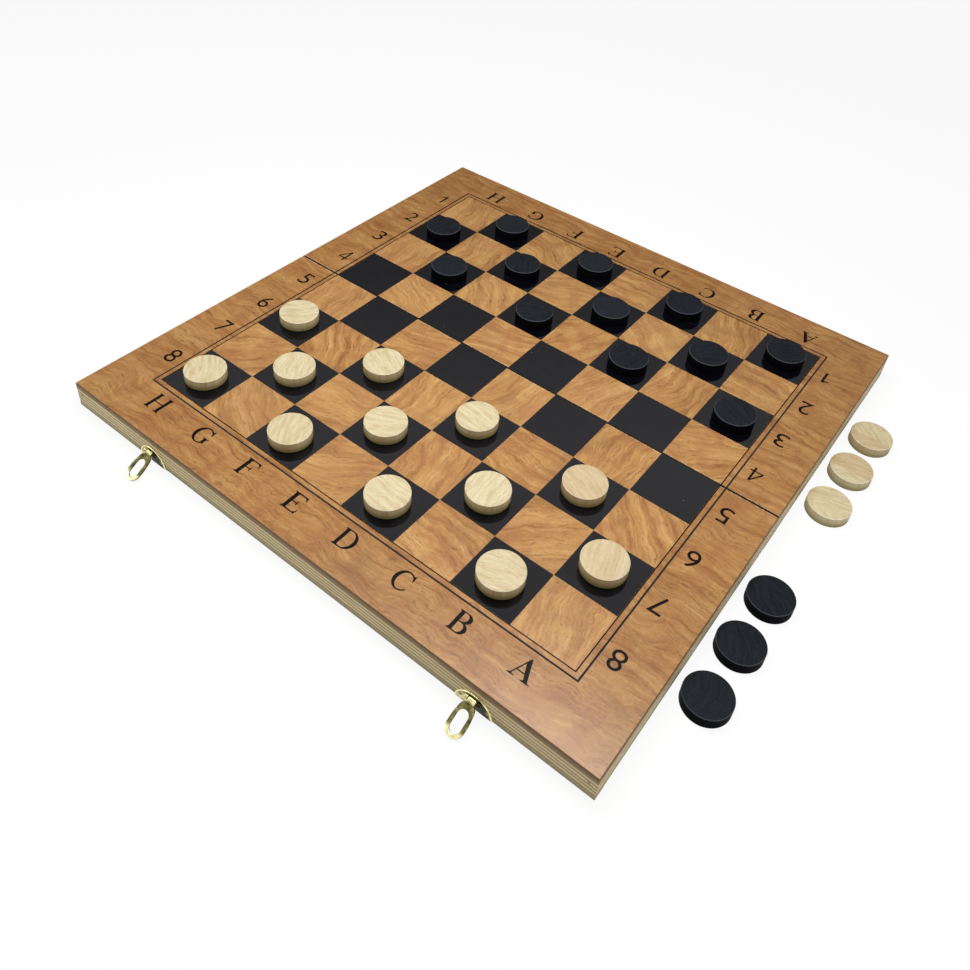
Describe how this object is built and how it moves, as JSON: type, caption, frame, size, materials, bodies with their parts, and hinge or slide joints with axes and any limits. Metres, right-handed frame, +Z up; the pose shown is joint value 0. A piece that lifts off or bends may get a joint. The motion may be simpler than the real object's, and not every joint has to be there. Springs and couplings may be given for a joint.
{
  "type": "games compendium box",
  "caption": "Folding wooden case that opens flat into a chess and draughts board, with a backgammon layout inside, brass hinges and hasps, and loose wooden discs.",
  "frame": {"origin": "on the table, under the middle of the box round everything that stands there: the open board, its leaning hasp tongues and the spare men", "axes": "+X runs along the fold towards the spare men, +Y from the edge with the hasps to the far edge, +Z up from the table to the playing faces"},
  "size_m": [0.421, 0.4126, 0.0282],
  "materials": {
    "printed_panel": "satin, figured wood film over hardboard",
    "black_print": "smooth semi-gloss black print",
    "points_dark": "smooth dark print",
    "points_light": "smooth light wood-toned print",
    "rails": "bare pale plywood, layered edges",
    "hinge_brass": "brass-plated steel sheet",
    "hasp_brass": "bright pale brass-plated pressed sheet",
    "pins": "drawn wire",
    "nails": "small brassed nails",
    "light_men": "natural pale wood, sanded, visible grain",
    "dark_men": "black-stained wood, matte"
  },
  "bodies": {
    "near_half": {"near_panel": "printed_panel", "near_print": "black_print", "near_points_dark": "points_dark", "near_points_light": "points_light", "near_outer_rail": "rails", "near_spine_rail": "rails", "near_left_rail": "rails", "near_right_rail": "rails", "near_nails": "nails", "near_hinge_leaf_left": "hinge_brass", "near_hinge_leaf_right": "hinge_brass", "hinge_pins": "pins", "hasp_plate_left": "hasp_brass", "hasp_plate_right": "hasp_brass", "hasp_pins": "pins", "light_disc_1": "light_men", "light_disc_2": "light_men", "light_disc_3": "light_men", "light_disc_4": "light_men", "light_disc_5": "light_men", "light_disc_6": "light_men", "light_disc_7": "light_men", "light_disc_8": "light_men", "light_disc_9": "light_men", "light_disc_10": "light_men", "light_disc_11": "light_men", "light_disc_12": "light_men", "light_disc_13": "light_men", "light_disc_14": "light_men", "light_disc_15": "light_men", "dark_disc_13": "dark_men", "dark_disc_14": "dark_men", "dark_disc_15": "dark_men"},
    "far_half": {"far_panel": "printed_panel", "far_print": "black_print", "far_points_dark": "points_dark", "far_points_light": "points_light", "far_outer_rail": "rails", "far_spine_rail": "rails", "far_left_rail": "rails", "far_right_rail": "rails", "far_nails": "nails", "far_hinge_leaf_left": "hinge_brass", "far_hinge_leaf_right": "hinge_brass", "catch_left": "hasp_brass", "catch_right": "hasp_brass", "dark_disc_1": "dark_men", "dark_disc_2": "dark_men", "dark_disc_3": "dark_men", "dark_disc_4": "dark_men", "dark_disc_5": "dark_men", "dark_disc_6": "dark_men", "dark_disc_7": "dark_men", "dark_disc_8": "dark_men", "dark_disc_9": "dark_men", "dark_disc_10": "dark_men", "dark_disc_11": "dark_men", "dark_disc_12": "dark_men"},
    "left_tongue": {"hasp_tongue_left": "hasp_brass"},
    "right_tongue": {"hasp_tongue_right": "hasp_brass"}
  },
  "joints": [
    {"name": "fold", "type": "hinge", "parent": "near_half", "child": "far_half", "pos_m": [-0.0155, 0.00796, 0.0011], "axis": [-1, 0, 0], "range_deg": [0, 180]},
    {"name": "left_tongue_swing", "type": "hinge", "parent": "near_half", "child": "left_tongue", "pos_m": [-0.1359, -0.18859, 0.0102], "axis": [-1, 0, 0], "range_deg": [-60.43, 89.57]},
    {"name": "right_tongue_swing", "type": "hinge", "parent": "near_half", "child": "right_tongue", "pos_m": [0.1101, -0.18859, 0.0102], "axis": [-1, 0, 0], "range_deg": [-60.43, 89.57]}
  ]
}
